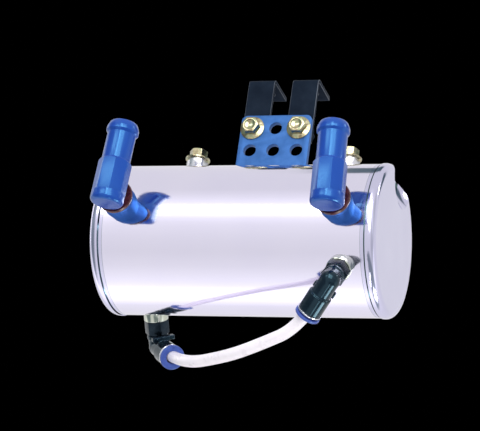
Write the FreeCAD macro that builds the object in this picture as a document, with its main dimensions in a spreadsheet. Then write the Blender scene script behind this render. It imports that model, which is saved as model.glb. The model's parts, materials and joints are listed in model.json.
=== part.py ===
import FreeCAD, Part

import math
import os
import re
import Sketcher

# An oil catch can for an engine bay: a round aluminium tank hung from a drilled plate
# and two bent stays, with two swivelling hose unions, two plugged ports on the crown
# and a sight tube that runs under the tank from one push-in elbow to the other.
#
# Sizes are in millimetres and degrees. Most pieces are described in the tank's own
# frame: X along the tank, Z up, the middle of the tank's axis at zero. The finished
# part's origin is the middle of the two hanging holes, on top of the stays.

SIZES = [
    # tank
    ("tank_radius", 38.0),
    ("tank_wall", 2.0),
    ("seam_half", 66.15),
    ("cap_proud", 0.4),
    ("cap_depth", 7.3),
    ("rim_depth", 4.8),
    ("groove_width", 0.7),
    ("groove_depth", 0.8),
    ("cap_round", 3.8),
    ("web_inside", 2.4),
    ("spigot_depth", 3.0),
    ("spigot_wall", 3.0),
    ("spigot_gap", 0.05),
    ("scoop_radius", 24.3),
    ("scoop_inset", 2.1),
    ("scoop_shift", 2.6),
    ("scoop_floor", 0.8),
    # baffle across the middle of the tank
    ("baffle_thick", 1.5),
    ("baffle_gap", 0.1),
    ("baffle_window", 16.0),
    ("baffle_drain", 3.0),
    ("baffle_hole", 2.5),
    ("baffle_ring", 18.0),
    ("baffle_count", 6),
    # mounting plate and its weld
    ("plate_x", 4.1),
    ("plate_width", 37.6),
    ("plate_thick", 3.0),
    ("plate_rise", 32.4),
    ("plate_corner", 3.0),
    ("hole_pitch", 12.4),
    ("row_rise", 12.6),
    ("screw_clear", 3.3),
    ("weld_leg", 1.6),
    ("weld_inset", 0.8),
    # stays
    ("stay_width", 13.9),
    ("stay_thick", 2.0),
    ("stay_rise", 55.2),
    ("stay_reach", 22.2),
    ("stay_bend", 1.0),
    ("stay_foot", 6.8),
    ("hang_setback", 13.5),
    ("hang_radius", 3.25),
    # M6 flange bolts and nuts
    ("screw_radius", 3.0),
    ("thread_gap", 0.03),
    ("head_across", 8.0),
    ("head_depth", 4.1),
    ("head_flange", 6.3),
    ("flange_thick", 1.3),
    ("head_dish", 2.9),
    ("dish_depth", 1.0),
    ("head_bevel", 0.7),
    ("stay_bolt_length", 14.0),
    ("plug_bolt_length", 11.0),
    ("plug_angle", 8.0),
    ("nut_across", 10.0),
    ("nut_depth", 6.0),
    ("nut_flange", 6.6),
    # plugged ports on the crown
    ("crown_port_x", 4.9),
    ("crown_port_half", 40.45),
    ("boss_across", 9.5),
    ("boss_angle", 13.0),
    ("boss_rise", 6.2),
    ("neck_radius", 4.6),
    ("neck_depth", 5.0),
    ("neck_gap", 0.05),
    ("washer_radius", 4.6),
    ("washer_thick", 0.8),
    # hose unions
    ("union_clear", 0.85),
    ("left_swivel_angle", 3.6),
    ("right_swivel_angle", -1.8),
    ("left_union_z", 1.2),
    ("right_union_z", 0.0),
    ("seat_foot", 7.4),
    ("seat_radius", 8.3),
    ("seat_rise", 12.2),
    ("seat_round", 1.8),
    ("seat_neck", 6.9),
    ("seat_depth", 5.0),
    ("seat_running", 0.05),
    ("seal_radius", 8.8),
    ("seal_thick", 2.15),
    ("seal_bulge", 0.3),
    ("body_across", 15.3),
    ("body_below", 8.0),
    ("body_flats", 2.6),
    ("body_above", 15.3),
    ("body_bevel", 1.6),
    ("body_round", 2.2),
    ("nipple_radius", 7.1),
    ("nipple_top", 35.2),
    ("nipple_bore", 5.4),
    ("bead_radius", 8.0),
    ("bead_z", 30.2),
    ("bead_ramp", 1.2),
    ("bead_land", 2.0),
    ("lip_radius", 7.0),
    ("lip_bevel", 0.5),
    ("stem_radius", 5.4),
    ("stem_bore", 4.0),
    ("clip_groove", 4.7),
    ("clip_radius", 7.3),
    ("clip_thick", 1.0),
    ("clip_gap", 0.15),
    ("clip_mouth", 5.0),
    # sight gauge ports and their push-in elbows
    ("left_port_clear", 1.85),
    ("left_port_tilt", 218.5),
    ("left_port_angle", 51.7),
    ("right_port_clear", 1.15),
    ("right_port_tilt", 132.4),
    ("right_port_angle", -126.0),
    ("bung_radius", 6.2),
    ("bung_rise", 4.2),
    ("bung_neck", 5.9),
    ("bung_depth", 5.0),
    ("bung_bevel", 0.4),
    ("gauge_thread", 4.8),
    ("thread_bevel", 0.5),
    ("thread_short", 1.0),
    ("gauge_across", 11.0),
    ("gauge_hex", 7.2),
    ("gauge_spigot", 4.0),
    ("gauge_bore", 2.4),
    ("collar_bevel", 0.6),
    ("sleeve_radius", 5.4),
    ("sleeve_depth", 2.6),
    ("arm_height", 18.7),
    ("neck_round", 4.9),
    ("knuckle_radius", 5.0),
    ("arm_radius", 5.9),
    ("arm_start", 8.8),
    ("arm_length", 19.1),
    ("lug_x", 8.8),
    ("lug_thick", 3.2),
    ("lug_half", 5.9),
    ("lug_depth", 2.2),
    ("lug_drop", 6.9),
    ("gusset_thick", 3.0),
    ("chamber_radius", 4.9),
    ("chamber_x", 10.8),
    ("tube_stop", 9.3),
    ("tube_radius", 3.0),
    ("tube_bore", 2.0),
    ("tube_grip", 0.03),
    ("tube_free", 0.2),
    ("seal_length", 2.4),
    ("grip_x", 13.4),
    ("grip_thick", 0.8),
    ("guide_x", 14.4),
    ("guide_bore", 4.4),
    ("guide_rim", 6.2),
    ("guide_proud", 0.9),
    ("guide_bevel", 0.3),
    ("sleeve_x", 15.4),
    ("ring_sleeve", 4.2),
    ("ring_radius", 6.4),
    ("ring_gap", 0.9),
    ("ring_thick", 1.5),
    ("ring_bevel", 0.4),
    # sight tube: how far its straight ends reach, and the two points between them
    ("left_lead", 26.2),
    ("right_lead", 20.7),
]

# The two free points of the sight tube's route, in the tank's frame.
TUBE_MIDDLE = [(-2.4, -7.4, -64.8), (16.3, -16.6, -62.0)]

# How much of the shorter run an arc of the tube takes up.
ARC_SHARE = 0.45

SIDES = {"left": -1, "right": 1}

# Flats round a bolt, nut or boss, and round a union's body.
HEXAGON = 6
OCTAGON = 8

# Two points closer than this are the same point.
TOUCH = 1e-3

doc = FreeCAD.newDocument("catch_can")
sheet = doc.addObject("Spreadsheet::Sheet", "sizes")
for row, (name, value) in enumerate(SIZES, start=1):
    sheet.set(f"A{row}", name)
    sheet.set(f"B{row}", str(value))
    sheet.setAlias(f"B{row}", name)
doc.recompute()

NAMES = re.compile(r"\b(" + "|".join(name for name, _ in SIZES) + r")\b")


def cells(text):
    """An expression in which each size is read from its cell."""
    return NAMES.sub(r"sizes.\1", str(text))


def value(text):
    """What such an expression comes to now, as a number."""
    return float(sheet.evalExpression(cells(text)))


def bind(item, **properties):
    """Tie properties of an object to the sheet."""
    for name, text in properties.items():
        item.setExpression(name, cells(text))
    return item


# Lengths that several pieces share

CAP_RADIUS = "(tank_radius + cap_proud)"
INSIDE_RADIUS = "(tank_radius - tank_wall)"
SPIGOT_END = "(seam_half - spigot_depth)"
UNION_OUT = "(tank_radius + seat_rise + seal_thick + body_across / 2)"
STEM_END = f"({UNION_OUT} - tank_radius + seat_depth + clip_gap + 2 * clip_thick)"
SLEEVE_START = "(bung_rise + gauge_hex + thread_gap)"


def union_place(side):
    """How far along the tank a union stands: its neck just clears the cap's spigot."""
    return f"{SIDES[side]} * ({SPIGOT_END} - seat_neck - union_clear)"


def gauge_place(side):
    """How far along the tank a gauge port is: its neck clears the cap's spigot."""
    return f"{SIDES[side]} * ({SPIGOT_END} - bung_neck - {side}_port_clear)"


# Frames

# From the part's origin to the tank's frame.
TO_TANK = "vector(-plate_x; -plate_thick - hang_setback; -tank_radius - stay_rise)"
IN_TANK = f"placement({TO_TANK}; rotationx(0))"


def at(x=0, y=0, z=0, turn="rotationx(0)"):
    """A placement by three lengths and a rotation."""
    return f"placement(vector({x}; {y}; {z}); {turn})"


def in_tank(*steps):
    """A placement counted from the tank's own frame."""
    return " * ".join([IN_TANK, *steps])


def gauge_frame(side):
    """On the tank's wall at a gauge port: Z leaves the tank, and X is the way the elbow's arm points."""
    tilt = at(gauge_place(side), 0, 0, f"rotationx({side}_port_tilt)")
    return f"{tilt} * " + at(0, 0, "tank_radius", f"rotationz({side}_port_angle)")


def arm_frame(side):
    """On the elbow's arm: Z runs out along the arm from the crossing of the elbow's two axes."""
    return f"{gauge_frame(side)} * " + at(0, 0, "arm_height", "rotationy(90)")


def union_frame(side):
    """At the crossing of a union's two axes, turned by its swivel, with the port along -Y."""
    turn = f"rotationy({side}_swivel_angle)"
    return at(union_place(side), f"-{UNION_OUT}", f"{side}_union_z", turn)


def seat_frame(side):
    """On the tank's front at a union's port: Z leaves the tank."""
    return at(union_place(side), "-tank_radius", f"{side}_union_z", "rotationx(90)")


def crown_frame(side):
    """On the tank's crown at a plugged port, Z up."""
    return at(f"crown_port_x + {SIDES[side]} * crown_port_half", 0, "tank_radius")


# Ways of making a piece

def new_body(name, placement):
    """A body with its label and its place in the part."""
    body = doc.addObject("PartDesign::Body", name)
    body.Label = name
    return bind(body, Placement=placement)


def outline(body, name, plane, corners, rounded=()):
    """A closed sketch on one of the body's own planes, each corner held by two sizes."""
    sketch = body.newObject("Sketcher::SketchObject", f"{body.Name}_{name}")
    origin_plane = next(item for item in body.Origin.OriginFeatures if item.Role == plane)
    sketch.AttachmentSupport = [(origin_plane, "")]
    sketch.MapMode = "FlatFace"
    points = [FreeCAD.Vector(value(x), value(y), 0) for x, y in corners]
    count = len(points)
    for index, point in enumerate(points):
        sketch.addGeometry(Part.LineSegment(point, points[(index + 1) % count]), False)
    for index in range(count):
        sketch.addConstraint(Sketcher.Constraint("Coincident", index, 2, (index + 1) % count, 1))
    for index, (x, y) in enumerate(corners):
        for kind, text in (("DistanceX", x), ("DistanceY", y)):
            start = Sketcher.Constraint(kind, -1, 1, index, 1, value(text))
            number = sketch.addConstraint(start)
            sketch.setExpression(f"Constraints[{number}]", cells(text))
    return sketch


def circles(body, name, plane, centres, radius):
    """A sketch of like circles, each centre held by two sizes."""
    sketch = body.newObject("Sketcher::SketchObject", f"{body.Name}_{name}")
    origin_plane = next(item for item in body.Origin.OriginFeatures if item.Role == plane)
    sketch.AttachmentSupport = [(origin_plane, "")]
    sketch.MapMode = "FlatFace"
    for index, (x, y) in enumerate(centres):
        centre = FreeCAD.Vector(value(x), value(y), 0)
        sketch.addGeometry(Part.Circle(centre, FreeCAD.Vector(0, 0, 1), value(radius)), False)
        for kind, text in (("DistanceX", x), ("DistanceY", y)):
            number = sketch.addConstraint(Sketcher.Constraint(kind, -1, 1, index, 3, value(text)))
            sketch.setExpression(f"Constraints[{number}]", cells(text))
        number = sketch.addConstraint(Sketcher.Constraint("Radius", index, value(radius)))
        sketch.setExpression(f"Constraints[{number}]", cells(radius))
    return sketch


def turned(body, corners, name="turned"):
    """Material turned about the body's Z axis from an outline of radius and height."""
    sketch = outline(body, f"{name}_outline", "XZ_Plane", corners)
    feature = body.newObject("PartDesign::Revolution", f"{body.Name}_{name}")
    feature.Profile = sketch
    feature.ReferenceAxis = (sketch, ["V_Axis"])
    feature.Angle = 360
    return feature


def turned_away(body, corners, name, plane="XZ_Plane"):
    """A groove cut all round the vertical axis of the outline's plane."""
    before = solid_volume(body)
    sketch = outline(body, f"{name}_outline", plane, corners)
    feature = body.newObject("PartDesign::Groove", f"{body.Name}_{name}")
    feature.Profile = sketch
    feature.ReferenceAxis = (sketch, ["V_Axis"])
    feature.Angle = 360
    check_cut(body, feature, before)
    return feature


def padded(body, sketch, length, name="pad"):
    """A pad to both sides of its sketch."""
    feature = body.newObject("PartDesign::Pad", f"{body.Name}_{name}")
    feature.Profile = sketch
    feature.SideType = "Symmetric"
    return bind(feature, Length=length)


def add(body, kind, name, placement=None, **sizes):
    """A primitive added to a body."""
    feature = body.newObject(f"PartDesign::Additive{kind}", f"{body.Name}_{name}")
    if placement:
        bind(feature, Placement=placement)
    return bind(feature, **sizes)


def cut(body, kind, name, placement=None, **sizes):
    """A primitive cut from a body, which has to take material away."""
    before = solid_volume(body)
    feature = body.newObject(f"PartDesign::Subtractive{kind}", f"{body.Name}_{name}")
    if placement:
        bind(feature, Placement=placement)
    bind(feature, **sizes)
    check_cut(body, feature, before)
    return feature


def bore(body, name, radius, start, length, turn="rotationx(0)", place=(0, 0, 0)):
    """A round hole along the turned Z axis, from start on for a length."""
    placement = at(*place, turn) + " * " + at(0, 0, start)
    return cut(body, "Cylinder", name, placement, Radius=radius, Height=length)


def prism(body, name, across, start, height, sides=HEXAGON, turn="0"):
    """A bar of regular section, by the size across its flats. Unturned, a corner is on X."""
    feature = add(body, "Prism", name, at(0, 0, start, f"rotationz({turn})"), Height=height)
    feature.Polygon = sides
    return bind(feature, Circumradius=f"({across}) / 2 / cos({180 / sides})")


def solid_volume(body):
    doc.recompute()
    return body.Shape.Volume


def check_cut(body, feature, before):
    """Stop where a cut took nothing away."""
    after = solid_volume(body)
    if after > before - TOUCH:
        raise RuntimeError(f"{feature.Name} cuts nothing")


def round_edges(body, name, radius, wanted):
    """Round the edges whose middle point passes a test, in the body's own frame."""
    doc.recompute()
    tip = body.Tip
    names = [f"Edge{number}" for number, edge in enumerate(tip.Shape.Edges, start=1)
             if wanted(edge.CenterOfMass)]
    feature = body.newObject("PartDesign::Fillet", f"{body.Name}_{name}")
    feature.Base = (tip, names)
    bind(feature, Radius=radius)
    doc.recompute()
    return feature


def saddle(body, name, drop):
    """Cut the tank's round out of a piece that sits on it, its axis along X at -drop."""
    placement = at("-seam_half", 0, f"-({drop})", "rotationy(90)")
    return cut(body, "Cylinder", name, placement, Radius="tank_radius", Height="2 * seam_half")


# Tank

def tank_shell():
    body = new_body("tank_shell", in_tank())
    ring = circles(body, "outside", "YZ_Plane", [("0", "0")], "tank_radius")
    padded(body, ring, "2 * seam_half", "tube")
    bore(body, "inside", INSIDE_RADIUS, "-seam_half", "2 * seam_half", "rotationy(90)")
    for side in SIDES:
        ports = (
            ("union_hole", seat_frame(side), "seat_neck + neck_gap"),
            ("crown_hole", crown_frame(side), "neck_radius + neck_gap"),
            ("gauge_hole", gauge_frame(side), "bung_neck + neck_gap"),
        )
        for name, frame, radius in ports:
            placement = f"{frame} * " + at(0, 0, "-2 * tank_wall")
            cut(body, "Cylinder", f"{side}_{name}", placement, Radius=radius, Height="4 * tank_wall")
    return body


def end_cap(side, scoop):
    """A turned cap: a thick face, a rounded rim above a groove, and a spigot that fits the tube."""
    turn = f"rotationy({SIDES[side] * 90})"
    body = new_body(f"{side}_end_cap", in_tank(at(f"{SIDES[side]} * seam_half", 0, 0, turn)))
    spigot = f"{INSIDE_RADIUS} - spigot_gap"
    turned(body, [
        ("0", "-web_inside"),
        (f"{spigot} - spigot_wall", "-web_inside"),
        (f"{spigot} - spigot_wall", "-spigot_depth"),
        (spigot, "-spigot_depth"),
        (spigot, "0"),
        ("tank_radius", "0"),
        ("tank_radius", "cap_depth - rim_depth - groove_width"),
        ("tank_radius - groove_depth", "cap_depth - rim_depth - groove_width"),
        ("tank_radius - groove_depth", "cap_depth - rim_depth"),
        (CAP_RADIUS, "cap_depth - rim_depth"),
        (CAP_RADIUS, "cap_depth"),
        ("0", "cap_depth"),
    ])
    rim = value("cap_depth")
    round_edges(body, "rim", "cap_round", lambda middle: middle.z > rim - TOUCH)
    if scoop:
        place = f"{-SIDES[side]} * ({CAP_RADIUS} - scoop_inset)"
        cut(body, "Sphere", "scoop", at(place, "scoop_shift", "scoop_floor + scoop_radius"),
            Radius="scoop_radius")
    return body


def baffle_plate():
    """A drilled disc that parts the inlet from the outlet, open above and at the drain."""
    body = new_body("baffle_plate", in_tank())
    disc = circles(body, "disc", "YZ_Plane", [("0", "0")], f"{INSIDE_RADIUS} - baffle_gap")
    padded(body, disc, "baffle_thick")
    width = "2 * tank_radius"
    window = f"{INSIDE_RADIUS} - baffle_window"
    drain = f"baffle_drain - {INSIDE_RADIUS} - tank_radius"
    for name, low in (("window", window), ("drain", drain)):
        cut(body, "Box", name, at("-tank_radius", "-tank_radius", low),
            Length=width, Width=width, Height="tank_radius")
    bore(body, "hole", "baffle_hole", "-baffle_thick", "2 * baffle_thick", "rotationy(90)",
         (0, "baffle_ring", 0))
    hole = body.Tip
    pattern = body.newObject("PartDesign::PolarPattern", "baffle_holes")
    pattern.Originals = [hole]
    axis = next(item for item in body.Origin.OriginFeatures if item.Role == "X_Axis")
    pattern.Axis = (axis, [""])
    pattern.Angle = 360
    bind(pattern, Occurrences="baffle_count")
    body.Tip = pattern
    return body


# Mounting plate and stays

def mounting_plate():
    """A flat plate that stands across the crown, drilled with two rows of three holes."""
    body = new_body("mounting_plate", in_tank(at("plate_x", "plate_thick / 2", "tank_radius")))
    half = "plate_width / 2"
    face = outline(body, "face", "XZ_Plane", [
        (f"-{half}", "-plate_thick"),
        (half, "-plate_thick"),
        (half, "plate_rise"),
        (f"-{half}", "plate_rise"),
    ])
    padded(body, face, "plate_thick")
    top = value("plate_rise")
    edge = value(half)
    round_edges(body, "corners", "plate_corner",
                lambda middle: middle.z > top - TOUCH and abs(abs(middle.x) - edge) < TOUCH)
    rows = ("row_rise", "row_rise + hole_pitch")
    centres = [(f"{column} * hole_pitch", row) for row in rows for column in (-1, 0, 1)]
    before = solid_volume(body)
    holes = circles(body, "holes", "XZ_Plane", centres, "screw_clear")
    feature = body.newObject("PartDesign::Pocket", "mounting_plate_drilled")
    feature.Profile = holes
    feature.SideType = "Symmetric"
    bind(feature, Length="2 * plate_thick")
    check_cut(body, feature, before)
    placement = at("-plate_width", "-plate_thick / 2", "-tank_radius", "rotationy(90)")
    cut(body, "Cylinder", "saddle", placement, Radius="tank_radius", Height="2 * plate_width")
    return body


def plate_weld(name, face):
    """A fillet weld along the plate's foot, on its front (-1) or its back (1)."""
    body = new_body(name, in_tank(at("plate_x", "plate_thick" if face > 0 else 0, "tank_radius")))
    bead = outline(body, "bead", "YZ_Plane", [
        ("0", "-plate_thick"),
        (f"{face} * weld_leg", "-plate_thick"),
        (f"{face} * weld_leg", "0"),
        ("0", "weld_leg"),
    ])
    padded(body, bead, "plate_width - 2 * weld_inset")
    y = "-plate_thick" if face > 0 else 0
    placement = at("-plate_width", y, "-tank_radius", "rotationy(90)")
    cut(body, "Cylinder", "saddle", placement, Radius="tank_radius", Height="2 * plate_width")
    return body


def stay(side):
    """A steel strap behind the plate, bent back at the top to hang from."""
    x = f"plate_x + {SIDES[side]} * (plate_width - stay_width) / 2"
    body = new_body(f"{side}_stay", in_tank(at(x, "plate_thick", "tank_radius")))
    top = "stay_rise"
    foot = "row_rise + hole_pitch - stay_foot"
    section = outline(body, "section", "YZ_Plane", [
        ("0", foot),
        ("0", top),
        ("stay_reach", top),
        ("stay_reach", f"{top} - stay_thick"),
        ("stay_thick", f"{top} - stay_thick"),
        ("stay_thick", foot),
    ])
    padded(body, section, "stay_width")
    high, thick = value(top), value("stay_thick")
    inner = (thick, high - thick)
    round_edges(body, "inner_bend", "stay_bend",
                lambda middle: abs(middle.y - inner[0]) + abs(middle.z - inner[1]) < TOUCH)
    round_edges(body, "outer_bend", "stay_bend + stay_thick",
                lambda middle: abs(middle.y) + abs(middle.z - high) < TOUCH)
    offset = f"{SIDES[side]} * (hole_pitch - (plate_width - stay_width) / 2)"
    bore(body, "bolt_hole", "screw_clear", "-2 * stay_thick", "4 * stay_thick", "rotationx(90)",
         (offset, 0, "row_rise + hole_pitch"))
    bore(body, "hang_hole", "hang_radius", f"{top} - 2 * stay_thick", "4 * stay_thick",
         place=(0, "hang_setback", 0))
    return body


def flange_bolt(name, frame, length):
    """A bolt with a dished six-sided head on a flange, its shank pointing down from zero."""
    body = new_body(name, frame)
    turned(body, [
        ("0", f"-({length})"),
        ("screw_radius - head_bevel", f"-({length})"),
        ("screw_radius", f"-({length}) + head_bevel"),
        ("screw_radius", "0"),
        ("head_flange", "0"),
        ("head_flange", "flange_thick / 2"),
        ("head_across / 2", "flange_thick"),
        ("0", "flange_thick"),
    ])
    prism(body, "head", "head_across", "flange_thick / 2", "head_depth + flange_thick / 2")
    top = "flange_thick + head_depth"
    turned_away(body, [
        ("head_across / 2 - head_bevel / 2", top),
        ("head_across", f"{top} - head_bevel - head_bevel"),
        ("head_across", top),
    ], "bevel")
    bore(body, "dish", "head_dish", f"{top} - dish_depth", "2 * dish_depth")
    return body


def bolt_frame(side):
    """On the plate's front at one of the two bolted holes: Z comes forward."""
    x = f"plate_x + {SIDES[side]} * hole_pitch"
    return at(x, 0, "tank_radius + row_rise + hole_pitch", "rotationx(90)")


def stay_nut(side):
    """A flange nut on the back of a stay, its flange down on the stay."""
    back = at(0, 0, "-plate_thick - stay_thick", "rotationx(180)")
    body = new_body(f"{side}_stay_nut", in_tank(bolt_frame(side), back))
    turned(body, [
        ("0", "0"),
        ("nut_flange", "0"),
        ("nut_flange", "flange_thick / 2"),
        ("nut_across / 2", "flange_thick"),
        ("0", "flange_thick"),
    ])
    prism(body, "hexagon", "nut_across", "flange_thick / 2", "nut_depth - flange_thick / 2")
    turned_away(body, [
        ("nut_across / 2 - head_bevel / 2", "nut_depth"),
        ("nut_across", "nut_depth - 2 * head_bevel"),
        ("nut_across", "nut_depth"),
    ], "bevel")
    bore(body, "thread", "screw_radius + thread_gap", "-nut_depth", "3 * nut_depth")
    return body


# Plugged ports on the crown

def crown_boss(side):
    """A six-sided boss let into the crown."""
    body = new_body(f"{side}_crown_boss", in_tank(crown_frame(side)))
    prism(body, "hexagon", "boss_across", "-tank_wall", "boss_rise + tank_wall",
          turn="boss_angle")
    saddle(body, "saddle", "tank_radius")
    add(body, "Cylinder", "neck", at(0, 0, "-neck_depth"),
        Radius="neck_radius", Height="neck_depth + boss_rise / 2")
    bore(body, "thread", "screw_radius + thread_gap", "-2 * neck_depth", "4 * neck_depth")
    return body


def plug_washer(side):
    body = new_body(f"{side}_plug_washer", in_tank(crown_frame(side), at(0, 0, "boss_rise")))
    turned(body, [
        ("screw_radius + thread_gap", "0"),
        ("washer_radius", "0"),
        ("washer_radius", "washer_thick"),
        ("screw_radius + thread_gap", "washer_thick"),
    ])
    return body


def plug_bolt(side):
    frame = in_tank(crown_frame(side), at(0, 0, "boss_rise + washer_thick", "rotationz(plug_angle)"))
    return flange_bolt(f"{side}_plug_bolt", frame, "plug_bolt_length")


# Hose unions

def union_seat(side):
    """A round shouldered seat let into the tank's front, bored for the union's stem."""
    body = new_body(f"{side}_union_seat", in_tank(seat_frame(side)))
    turned(body, [
        ("0", "-2 * tank_wall"),
        ("seat_foot", "-2 * tank_wall"),
        ("seat_foot", "0"),
        ("seat_radius", "seat_rise / 2"),
        ("seat_radius", "seat_rise"),
        ("0", "seat_rise"),
    ])
    rim = value("seat_rise")
    round_edges(body, "rim", "seat_round", lambda middle: middle.z > rim - TOUCH)
    saddle(body, "saddle", "tank_radius")
    add(body, "Cylinder", "neck", at(0, 0, "-seat_depth"),
        Radius="seat_neck", Height="seat_depth + seat_rise / 2")
    bore(body, "bore", "stem_radius + seat_running", "-2 * seat_depth", "4 * seat_rise")
    return body


def union_seal(side):
    """The ring squeezed between the seat and the union's body."""
    body = new_body(f"{side}_union_seal", in_tank(seat_frame(side), at(0, 0, "seat_rise")))
    inner = "stem_radius + seat_running"
    turned(body, [
        (inner, "0"),
        ("seal_radius - seal_bulge", "0"),
        ("seal_radius", "seal_thick / 2"),
        ("seal_radius - seal_bulge", "seal_thick"),
        (inner, "seal_thick"),
    ])
    return body


def union_elbow(side):
    """A round bar with eight flats, a beaded hose nipple above and a stem behind."""
    body = new_body(f"{side}_union_elbow", in_tank(union_frame(side)))
    corner = f"body_across / 2 / cos({180 / OCTAGON})"
    turned(body, [
        ("0", "-body_below"),
        (corner, "-body_below"),
        (corner, "-body_flats"),
        ("0", "-body_flats"),
    ], "foot")
    foot = value("-body_below")
    round_edges(body, "foot_round", "body_round", lambda middle: middle.z < foot + TOUCH)
    prism(body, "bar", "body_across", "-body_flats", "body_flats + body_above",
          OCTAGON, 180 / OCTAGON)
    turned_away(body, [
        (f"{corner} - body_bevel", "body_above"),
        (f"{corner} + body_bevel", "body_above - 2 * body_bevel"),
        (f"{corner} + body_bevel", "body_above"),
    ], "shoulder_bevel")
    cut(body, "Cylinder", "spot_face", at(0, "body_across / 2", 0, "rotationx(-90)"),
        Radius="seal_radius", Height="seal_radius")
    turned(body, [
        ("0", "0"),
        ("nipple_radius", "0"),
        ("nipple_radius", "bead_z - bead_ramp"),
        ("bead_radius", "bead_z"),
        ("bead_radius", "bead_z + bead_land"),
        ("lip_radius", "nipple_top - lip_bevel"),
        ("lip_radius - lip_bevel", "nipple_top"),
        ("0", "nipple_top"),
    ], "nipple")
    add(body, "Cylinder", "stem", at(turn="rotationx(-90)"), Radius="stem_radius", Height=STEM_END)
    bore(body, "nipple_bore", "nipple_bore", "-nipple_bore", "nipple_top + 2 * nipple_bore")
    bore(body, "stem_bore", "stem_bore", "0", f"2 * {STEM_END}", "rotationx(-90)")
    turned_away(body, [
        ("clip_groove", f"{STEM_END} - 2 * clip_thick"),
        ("2 * stem_radius", f"{STEM_END} - 2 * clip_thick"),
        ("2 * stem_radius", f"{STEM_END} - clip_thick + clip_gap"),
        ("clip_groove", f"{STEM_END} - clip_thick + clip_gap"),
    ], "clip_groove", "XY_Plane")
    return body


def union_clip(side):
    """The open ring that keeps the stem from pulling out of its seat."""
    place = at(0, f"{STEM_END} - 2 * clip_thick", 0, "rotationx(-90)")
    body = new_body(f"{side}_union_clip", in_tank(union_frame(side), place))
    inner = "clip_groove + thread_gap"
    turned(body, [
        (inner, "0"),
        ("clip_radius", "0"),
        ("clip_radius", "clip_thick"),
        (inner, "clip_thick"),
    ])
    cut(body, "Box", "mouth", at("-clip_mouth / 2", 0, "-clip_thick"),
        Length="clip_mouth", Width="2 * clip_radius", Height="3 * clip_thick")
    return body


# Sight gauge

def gauge_bung(side):
    """A round boss let into the tank for the elbow's thread."""
    body = new_body(f"{side}_gauge_bung", in_tank(gauge_frame(side)))
    turned(body, [
        ("0", "-tank_wall"),
        ("bung_radius", "-tank_wall"),
        ("bung_radius", "bung_rise - bung_bevel"),
        ("bung_radius - bung_bevel", "bung_rise"),
        ("0", "bung_rise"),
    ])
    turn = f"rotationz(-{side}_port_angle)"
    placement = at(0, 0, "-tank_radius", f"{turn} * rotationy(90)") + " * " + at(0, 0, "-seam_half")
    cut(body, "Cylinder", "saddle", placement, Radius="tank_radius", Height="2 * seam_half")
    add(body, "Cylinder", "neck", at(0, 0, "-bung_depth"),
        Radius="bung_neck", Height="bung_depth + bung_rise / 2")
    bore(body, "thread", "gauge_thread + thread_gap", "-2 * bung_depth", "4 * bung_depth")
    return body


def gauge_stem(side):
    """The plated stem: a thread, a six-sided collar and a spigot that the elbow turns on."""
    body = new_body(f"{side}_gauge_stem", in_tank(gauge_frame(side)))
    collar = "bung_rise + gauge_hex"
    start = "thread_short - bung_depth"
    end = f"{collar} + sleeve_depth"
    turned(body, [
        ("0", start),
        ("gauge_thread - thread_bevel", start),
        ("gauge_thread", f"{start} + thread_bevel"),
        ("gauge_thread", collar),
        ("gauge_spigot", collar),
        ("gauge_spigot", f"{end} - thread_bevel"),
        ("gauge_spigot - thread_bevel", end),
        ("0", end),
    ])
    prism(body, "collar", "gauge_across", "bung_rise", "gauge_hex")
    corner = f"gauge_across / 2 / cos({180 / HEXAGON})"
    turned_away(body, [
        (f"{corner} - 2 * collar_bevel", collar),
        (f"{corner} + 2 * collar_bevel", f"{collar} - 2 * collar_bevel"),
        (f"{corner} + 2 * collar_bevel", collar),
    ], "bevel")
    bore(body, "bore", "gauge_bore", "-2 * bung_depth", "4 * arm_height")
    return body


def gauge_elbow(side):
    """The moulded elbow: a sleeve over the stem, a knuckle, and an arm that takes the tube."""
    body = new_body(f"{side}_gauge_elbow", in_tank(gauge_frame(side)))
    add(body, "Cylinder", "sleeve", at(0, 0, SLEEVE_START),
        Radius="sleeve_radius", Height="sleeve_depth")
    add(body, "Cylinder", "neck", at(0, 0, f"{SLEEVE_START} + sleeve_depth / 2"),
        Radius="neck_round", Height=f"arm_height - {SLEEVE_START} - sleeve_depth / 2")
    add(body, "Sphere", "knuckle", at(0, 0, "arm_height"), Radius="knuckle_radius")
    add(body, "Cylinder", "arm_neck", at(0, 0, "arm_height", "rotationy(90)"),
        Radius="neck_round", Height="arm_start + lug_thick / 2")
    add(body, "Cylinder", "arm", at("arm_start", 0, "arm_height", "rotationy(90)"),
        Radius="arm_radius", Height="arm_length - arm_start")
    low = "arm_height - lug_drop - lug_depth / 2"
    add(body, "Box", "lug", at("lug_x - lug_thick / 2", "-lug_half", low),
        Length="lug_thick", Width="2 * lug_half", Height="lug_depth")
    add(body, "Box", "gusset", at(0, "-gusset_thick / 2", SLEEVE_START),
        Length="lug_x + lug_thick / 4", Width="gusset_thick", Height=f"arm_height - {SLEEVE_START}")
    bore(body, "stem_bore", "gauge_spigot + thread_gap", "0", f"{SLEEVE_START} + sleeve_depth")
    bore(body, "oil_way", "gauge_bore", "0", "arm_height")
    along = ("rotationy(90)", (0, 0, "arm_height"))
    bore(body, "arm_way", "gauge_bore", "0", "arm_length", *along)
    bore(body, "tube_way", "tube_radius + tube_free", "tube_stop", "arm_length", *along)
    bore(body, "chamber", "chamber_radius", "chamber_x", "arm_length", *along)
    return body


def arm_ring(name, side, corners):
    """A ring turned about the elbow's arm."""
    body = new_body(name, in_tank(arm_frame(side)))
    turned(body, corners)
    return body


def tube_seal(side):
    snug = "tube_radius + tube_grip"
    wide = "chamber_radius - tube_grip"
    return arm_ring(f"{side}_tube_seal", side, [
        (snug, "chamber_x"),
        (wide, "chamber_x"),
        (wide, "chamber_x + seal_length"),
        (snug, "chamber_x + seal_length"),
    ])


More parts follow.
